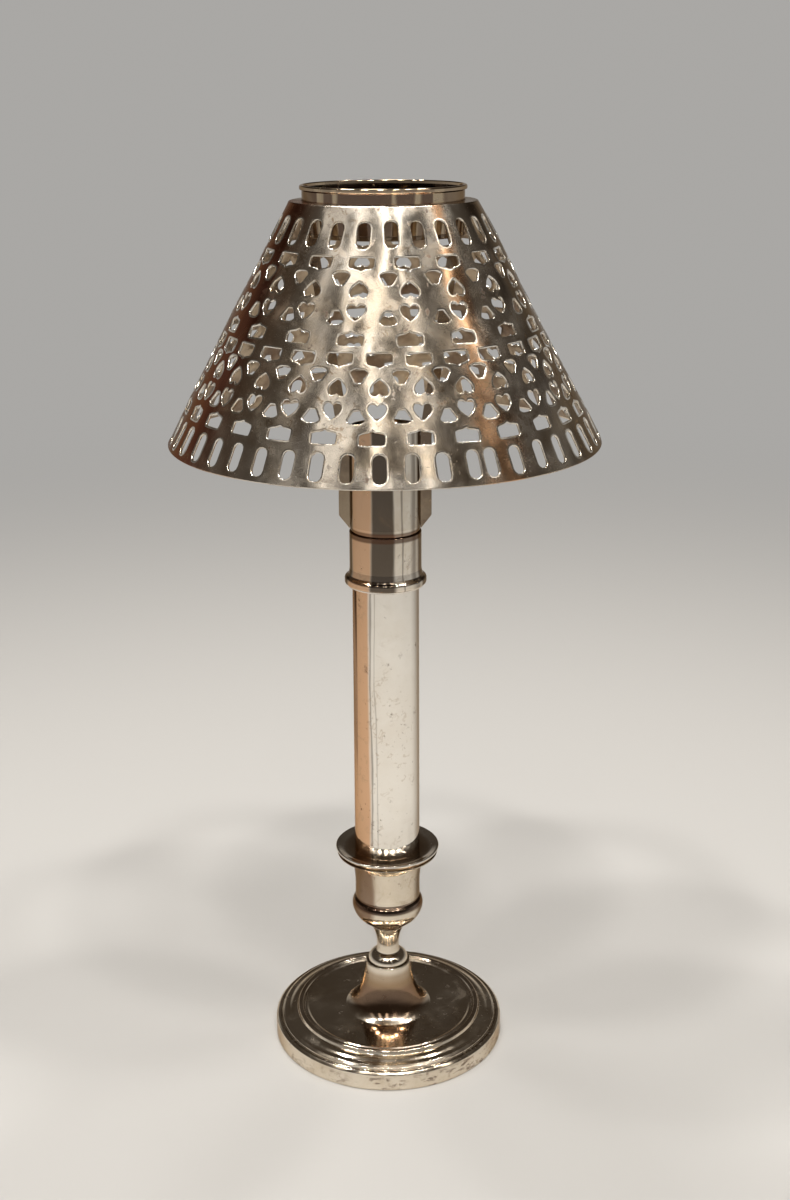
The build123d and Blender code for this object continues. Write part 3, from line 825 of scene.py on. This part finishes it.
def cut_holes(rng):
    """Every hole, strayed a little as if by hand: outline, outward normals and rim's room by
    point, then azimuth and distance down the slant."""
    kinds, azimuth, slant, over = zip(*pierced_rows())
    count = len(kinds)
    shapes = {kind: hole_outline(kind) for kind in ("slot", "house", "fan", "heart")}
    outline, normal, room = (np.array([shapes[kind][part] for kind in kinds]) for part in range(3))
    turn = np.radians(rng.uniform(-hand_turn, hand_turn, count)) + math.pi * np.array(over)
    spin = np.stack([np.cos(turn), -np.sin(turn), np.sin(turn), np.cos(turn)], axis=1)
    outline, normal = (
        np.einsum("hij,hnj->hni", spin.reshape(-1, 2, 2), each) for each in (outline, normal)
    )
    slant = np.array(slant) * MM + rng.uniform(-hand_shift, hand_shift, count)
    azimuth = np.radians(azimuth) + rng.uniform(-hand_shift, hand_shift, count) / radius_at(slant)
    return outline, normal, room, wrapped(azimuth), slant


def fill_points(rng, outline, normal, azimuth, slant):
    """An even, jittered spread of points on the sheet, clear of its edges and of the holes."""
    depth = -flatten(0.0, shade_slant)[1]
    columns, rows = round(unrolled / fill_spacing), round(depth / (fill_spacing * fill_row))
    column, row = np.meshgrid(np.arange(columns), np.arange(1, rows))
    across = (column + 0.5 * (row % 2)) / columns * unrolled - unrolled / 2
    fill = np.stack([across, -row / rows * depth], axis=-1).reshape(-1, 2)
    fill = fill + rng.uniform(-fill_jitter, fill_jitter, fill.shape) * fill_spacing
    turned_by = fill[:, 0] / math.sin(slope)
    down = cone_tip * np.exp(-fill[:, 1]) - cone_tip
    clear = (down > field_top + top_clear) & (down < field_bottom - bottom_clear)
    for guard, middle, distance in zip(outline + hole_guard * normal, azimuth, slant):
        aside = wrapped(turned_by - middle) * radius_at(down)
        spot = np.stack([aside, distance - down], axis=1)
        near = (np.abs(spot) < hole_reach).all(1)
        clear[np.flatnonzero(near)[inside(guard, spot[near])]] = False
    return turned_by[clear], down[clear]


def triangulate(flat, sides):
    """Triangles of the flattened sheet, by its points' numbers, and their middles. Points near
    either end of the turn are repeated past the other, so that the triangles close round it."""
    copies, owners, borders = [flat], [np.arange(len(flat))], [sides]
    for shift in (-unrolled, unrolled):
        moved = flat + (shift, 0)
        near = np.abs(moved[:, 0]) < unrolled / 2 + overlap
        number = np.full(len(flat), -1)
        number[near] = sum(len(copy) for copy in copies) + np.arange(near.sum())
        both = number[sides]
        borders.append(both[(both >= 0).all(1)])
        copies.append(moved[near])
        owners.append(np.flatnonzero(near))
    spread, owner, borders = (np.concatenate(each) for each in (copies, owners, borders))
    answer = geometry.delaunay_2d_cdt(spread.tolist(), borders.tolist(), [], 0, 1e-9, True)
    corners = np.array([vertex[:] for vertex in answer[0]])
    source = np.array([origin[0] for origin in answer[3]])
    triangles = np.array([face for face in answer[2] if len(face) == 3])
    middles = corners[triangles].mean(1)
    once = (middles[:, 0] >= -unrolled / 2) & (middles[:, 0] < unrolled / 2)
    return owner[source[triangles[once]]], middles[once]


def without_holes(triangles, middles, flat, rings):
    """The triangles that don't lie inside a hole's ring."""
    hole = np.where(triangles < rings.size, triangles // hole_points, -1)
    suspect = (hole[:, 0] >= 0) & (hole == hole[:, :1]).all(1)
    keep = np.ones(len(triangles), bool)
    for n in np.unique(hole[suspect, 0]):
        chosen = np.flatnonzero(suspect & (hole[:, 0] == n))
        loop, spots = flat[rings[n]], middles[chosen]
        shift = np.round((spots[:, 0] - loop[:, 0].mean()) / unrolled) * unrolled
        spots = np.stack([spots[:, 0] - shift, spots[:, 1]], axis=1)
        keep[chosen[inside(loop, spots)]] = False
    return triangles[keep]


def rolled_rims(azimuth, slant, normal):
    """Points and normals of every hole's rings, over its rolled rim and down its wall."""
    aside, outward = np.gradient(rim_lifts), -np.gradient(rim_offsets)
    outward[-1] = 2 * aside[-1]  # at the lining's edge the normal turns to the inside
    length = np.hypot(aside, outward)
    aside, outward = (aside / length)[:, None, None], (outward / length)[:, None, None]
    lift, side, rise = rippled(azimuth, slant)
    right, up, out = cone_axes(azimuth)
    away = normal[:, None, :, :1] * right + normal[:, None, :, 1:] * up
    normals = aside * away + outward * (out - side[..., None] * right - rise[..., None] * up)
    return on_cone(azimuth, slant, rim_lifts[:, None] + lift), normals


def make_shade():
    """The pierced cone. Each hole has a stack of rings for its rolled rim and its wall; the
    sheet between the holes is triangulated flat, round the whole turn, and bent back."""
    rng = np.random.default_rng(7)
    outline, normal, room, azimuth, slant = cut_holes(rng)
    section = outline[:, None] + rim_offsets[:, None, None] * (room * normal)[:, None]
    ring_slant = slant[:, None, None] - section[..., 1]
    ring_azimuth = azimuth[:, None, None] + section[..., 0] / radius_at(ring_slant)
    turn = np.linspace(-math.pi, math.pi, edge_points, endpoint=False)
    turns = np.stack([turn, turn + math.pi / edge_points])
    fill_azimuth, fill_slant = fill_points(rng, outline, normal, azimuth, slant)
    edge_slant = np.repeat([field_top, field_bottom], edge_points)
    base_azimuth = np.concatenate([ring_azimuth[:, 0].ravel(), turns.ravel(), fill_azimuth])
    base_slant = np.concatenate([ring_slant[:, 0].ravel(), edge_slant, fill_slant])

    # the field: the holes' outermost rings, both edges and the fill
    rings = np.arange(len(outline) * hole_points).reshape(-1, hole_points)
    edges = rings.size + np.arange(2 * edge_points).reshape(2, -1)
    ring_sides = np.stack([rings, np.roll(rings, -1, 1)], axis=-1).reshape(-1, 2)
    edge_sides = np.stack([edges[:, :-1], edges[:, 1:]], axis=-1).reshape(-1, 2)
    flat = flatten(base_azimuth, base_slant)
    triangles, middles = triangulate(flat, np.concatenate([ring_sides, edge_sides]))
    field = without_holes(triangles, middles, flat, rings)

    # its outer face and its lining, and the rings between them
    count = len(flat)
    lift, side, rise = rippled(base_azimuth, base_slant)
    right, up, out = cone_axes(base_azimuth)
    facing = out - (side[:, None] * right + rise[:, None] * up)
    lining, lining_facing = on_cone(base_azimuth, base_slant, lift - sheet), -facing
    rims, rims_facing = rolled_rims(ring_azimuth, ring_slant, normal)
    lining[: rings.size] = rims[:, -1].reshape(-1, 3)
    lining_facing[: rings.size] = rims_facing[:, -1].reshape(-1, 3)
    points = [on_cone(base_azimuth, base_slant, lift), lining, rims[:, 1:-1].reshape(-1, 3)]
    normals = [facing, lining_facing, rims_facing[:, 1:-1].reshape(-1, 3)]
    between_them = 2 * count + np.arange(len(points[2])).reshape(len(rings), -1, hole_points)
    stack = np.concatenate([rings[:, None], between_them, rings[:, None] + count], axis=1)
    upper, lower = stack[:, :-1], stack[:, 1:]
    strips = [upper, np.roll(upper, -1, 2), np.roll(lower, -1, 2), lower]
    strips = np.stack(strips, axis=-1).reshape(-1, 4)

    # the turned-in shoulder above the field and the plain edge below it
    hems = []
    for edge, turn, path in zip(edges, turns, (shoulder_path(), edge_path())):
        index = sum(len(each) for each in points) + np.arange(len(path[0]) * edge_points)
        rows = [edge[None], index.reshape(-1, edge_points), edge[None] + count]
        hems.append(grid_faces(np.concatenate(rows), False))
        for collected, across, along in ((points, *path[:2]), (normals, *path[2:])):
            across, along = across[:, None], along[:, None] + 0 * turn
            circles = np.stack([across * np.sin(turn), -across * np.cos(turn), along], axis=-1)
            collected.append(circles.reshape(-1, 3))
    quads = np.concatenate([strips, hems[0], hems[1][:, ::-1]])
    triangles = np.concatenate([field, field[:, ::-1] + count])
    shade = make_object(
        "shade_pierced", np.concatenate(points), quads, triangles, np.concatenate(normals)
    )
    # The lining takes the second material, darkened by smoke and painted shade; the holes' rims
    # and walls take the third, a painted highlight on rubbed edges.
    slots = np.zeros(len(shade.data.polygons), int)
    slots[-len(field) :] = 1
    slots[: len(strips)] = 2
    shade.data.polygons.foreach_set("material_index", slots)
    return shade


def from_profile(corners):
    """A softened open outline (radius, height) without its two ends, as four arrays."""
    outline, normal = softened(np.array(corners), 8, False)
    outline, normal = outline[1:-1], normal[1:-1]
    return outline[:, 0], outline[:, 1], normal[:, 0], normal[:, 1]


def shoulder_path():
    """The sheet's top: over a soft shoulder, in to the collar, and back under itself."""
    radius, height = on_slope(shoulder, 0)
    drum = collar_high.x - 0.7 * MM
    return from_profile(
        [
            (*on_slope(field_top, 0), 0),
            (radius, height, 0.7 * MM),
            (drum, height + 0.15 * MM, 0.12 * MM),
            (drum, height - sheet, 0.12 * MM),
            (radius - 0.4 * MM, height - sheet, 0.3 * MM),
            (*on_slope(field_top, -sheet), 0),
        ]
    )


def edge_path():
    """The sheet's bottom edge, eased on both sides; walked from the inside out and reversed."""
    inside_out = from_profile(
        [
            (*on_slope(field_bottom, -sheet), 0),
            (*on_slope(shade_slant, -sheet), 0.2 * MM),
            (*on_slope(shade_slant, 0), 0.25 * MM),
            (*on_slope(field_bottom, 0), 0),
        ]
    )
    return [each[::-1] for each in inside_out]


# --- pieces on their bodies -------------------------------------------------------
dress(make_foot(), foot_silver, "silver_plate", "candlestick", "foot_shell")
dress(make_stem(), foot_silver, "silver_plate", "candlestick", "stem")
dress(make_cup(), cup_silver, "silver_plate", "candlestick", "socket_cup")
dress(make_pan(), pan_silver, "silver_plate", "nozzle", "drip_pan")
dress(make_tube(), column_silver, "silver_plate", "tube", "candle_tube")
dress(make_cap(), cap_silver, "silver_plate", "cap", "tube_cap")
dress(make_sleeve(), cap_silver, "silver_plate", "carrier", "carrier_sleeve")
# the arms' edges take the rims' bright tone, a painted highlight
for arm, node in zip(make_arms(), ("carrier_arm_right", "carrier_arm_left")):
    dress(arm, arm_silver, "silver_plate", "carrier", node, more=(rim_silver,))
dress(make_ledge(), arm_silver, "silver_plate", "carrier", "carrier_ring")
dress(make_collar(), collar_silver, "shade_plate", "shade", "shade_collar")
# the shade's lining and its rims: painted shade and painted highlights, with smoke and rubbing
shade_layers = (smoked_and_shaded_lining, rim_silver)
dress(make_shade(), shade_silver, "shade_plate", "shade", "shade_sheet", more=shade_layers)
dress(make_candle(), wax, "wax", "follower", "candle")
dress(make_wick(), wick_cotton, "cotton", "follower", "wick")
coil = dress(make_spring(), steel, "steel", "follower", "follower_spring")
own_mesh(coil)
for material, nodes in (
    (cast, ["foot_weight"]),
    (baize, ["baize_pad"]),
    (steel, ["tie_rod", "tie_nut"]),
    (column_silver, ["tube_foot", "candle_follower", "bayonet_pins"]),
):
    for node in nodes:
        finish_node(node, material)


# --- studio -----------------------------------------------------------------------
horizon = (0.40, 0.39, 0.375)
dusk = (0.055, 0.045, 0.036)
floor_reach = 12.0  # from the lamp to the floor's edges
lamp_ring, lamp_height = 0.60, 1.45
strip_ring, strip_height = 0.95, 1.25


def make_studio():
    """A wide pale floor. Far from the lamp it turns into the plain tone of the room's horizon."""
    corners = np.array([(-1, -1, 0), (1, -1, 0), (1, 1, 0), (-1, 1, 0)])
    floor = make_object("studio_floor", floor_reach * corners, np.arange(4)[None])
    material, tree, shader = new_material("pale_paper")
    shader.inputs["Base Color"].default_value = (0.60, 0.59, 0.575, 1)
    shader.inputs["Roughness"].default_value = 0.75
    glow = add_node(tree, "ShaderNodeEmission", Color=(*horizon, 1), Strength=1.0)
    away = add_node(tree, "ShaderNodeVectorMath", {"operation": "LENGTH"}, i0=place(tree))
    path = add_node(tree, "ShaderNodeLightPath").outputs
    seen = maths(tree, "MAXIMUM", path["Is Camera Ray"], path["Is Glossy Ray"])
    seen = maths(tree, "MAXIMUM", seen, path["Is Transmission Ray"])
    share = times(tree, levels(tree, away.outputs["Value"], 0.25, 1.15), seen)
    mixed = add_node(tree, "ShaderNodeMixShader", Fac=share)
    tree.links.new(shader.outputs["BSDF"], mixed.inputs[1])
    tree.links.new(glow.outputs["Emission"], mixed.inputs[2])
    output = next(node for node in tree.nodes if node.type == "OUTPUT_MATERIAL")
    tree.links.new(mixed.outputs["Shader"], output.inputs["Surface"])
    floor.data.materials.append(material)


def round_axis(degrees, radius, height):
    """A place at an azimuth, a distance from the axis and a height."""
    angle = math.radians(degrees)
    return radius * math.sin(angle), -radius * math.cos(angle), height


def add_lamp(name, spot, aim, size, power, colour):
    """A rectangular soft lamp aimed at a point."""
    data = bpy.data.lights.new(name, "AREA")
    data.shape = "RECTANGLE"
    data.size, data.size_y = size
    data.energy = power
    data.color = colour
    lamp = bpy.data.objects.new(name, data)
    lamp.location = spot
    direction = np.array(spot) - np.array(aim)
    yaw = math.atan2(direction[0], -direction[1])
    pitch = math.atan2(math.hypot(direction[0], direction[1]), direction[2])
    lamp.rotation_euler = (pitch, 0, yaw)
    bpy.context.scene.collection.objects.link(lamp)


def light_studio():
    """Small lamps round the ceiling, tall strips in front for the shade, and a dusky room."""
    middle, shade = (0, 0, 0.15), (0, 0, 0.27)
    for name, degrees, power in (
        ("a", -112, 4.0), ("b", -78, 3.5), ("c", -40, 4.0), ("d", -6, 4.5), ("e", 27, 4.0),
        ("f", 56, 3.5), ("g", 108, 4.0),
    ):
        spot = round_axis(degrees, lamp_ring, lamp_height)
        add_lamp("ceiling_" + name, spot, middle, (0.10, 0.10), power, (1.0, 0.97, 0.92))
    add_lamp("ceiling_back", (-0.1, 0.6, 1.5), middle, (0.2, 0.2), 3.5, (1.0, 0.97, 0.93))
    for name, degrees, width, power in (
        ("a", -62, 0.20, 0.26), ("b", -33, 0.16, 0.42), ("c", -6, 0.14, 0.66),
        ("d", 24, 0.12, 0.46), ("e", 71, 0.12, 0.80),
    ):
        spot = round_axis(degrees, strip_ring, strip_height)
        add_lamp("strip_" + name, spot, shade, (width, 0.6), power, (1.0, 0.93, 0.84))
    world = bpy.data.worlds.new("dusky_room")
    world.use_nodes = True
    tree = world.node_tree
    direction = add_node(tree, "ShaderNodeTexCoord").outputs["Generated"]
    height = add_node(tree, "ShaderNodeSeparateXYZ", Vector=direction).outputs["Z"]
    tone = blend(tree, levels(tree, height, 0.10, 0.34), horizon, dusk)
    tree.links.new(tone, tree.nodes["Background"].inputs["Color"])
    bpy.context.scene.world = world


def add_camera():
    """The photograph's view: a little above the cap, tilted down, framed by a shift."""
    data = bpy.data.cameras.new("view")
    data.lens, data.sensor_width = 48.4, 36
    data.shift_x, data.shift_y = 0.0086, -0.15
    camera = bpy.data.objects.new("view", data)
    tilt = Matrix.Rotation(math.radians(90 - 11.6), 4, "X")
    roll = Matrix.Rotation(math.radians(-0.36), 4, "Z")
    camera.matrix_world = Matrix.Translation((0, -0.558, 0.350)) @ tilt @ roll
    bpy.context.scene.collection.objects.link(camera)
    bpy.context.scene.camera = camera


make_studio()
light_studio()
add_camera()
bpy.context.scene.view_settings.view_transform = "Standard"
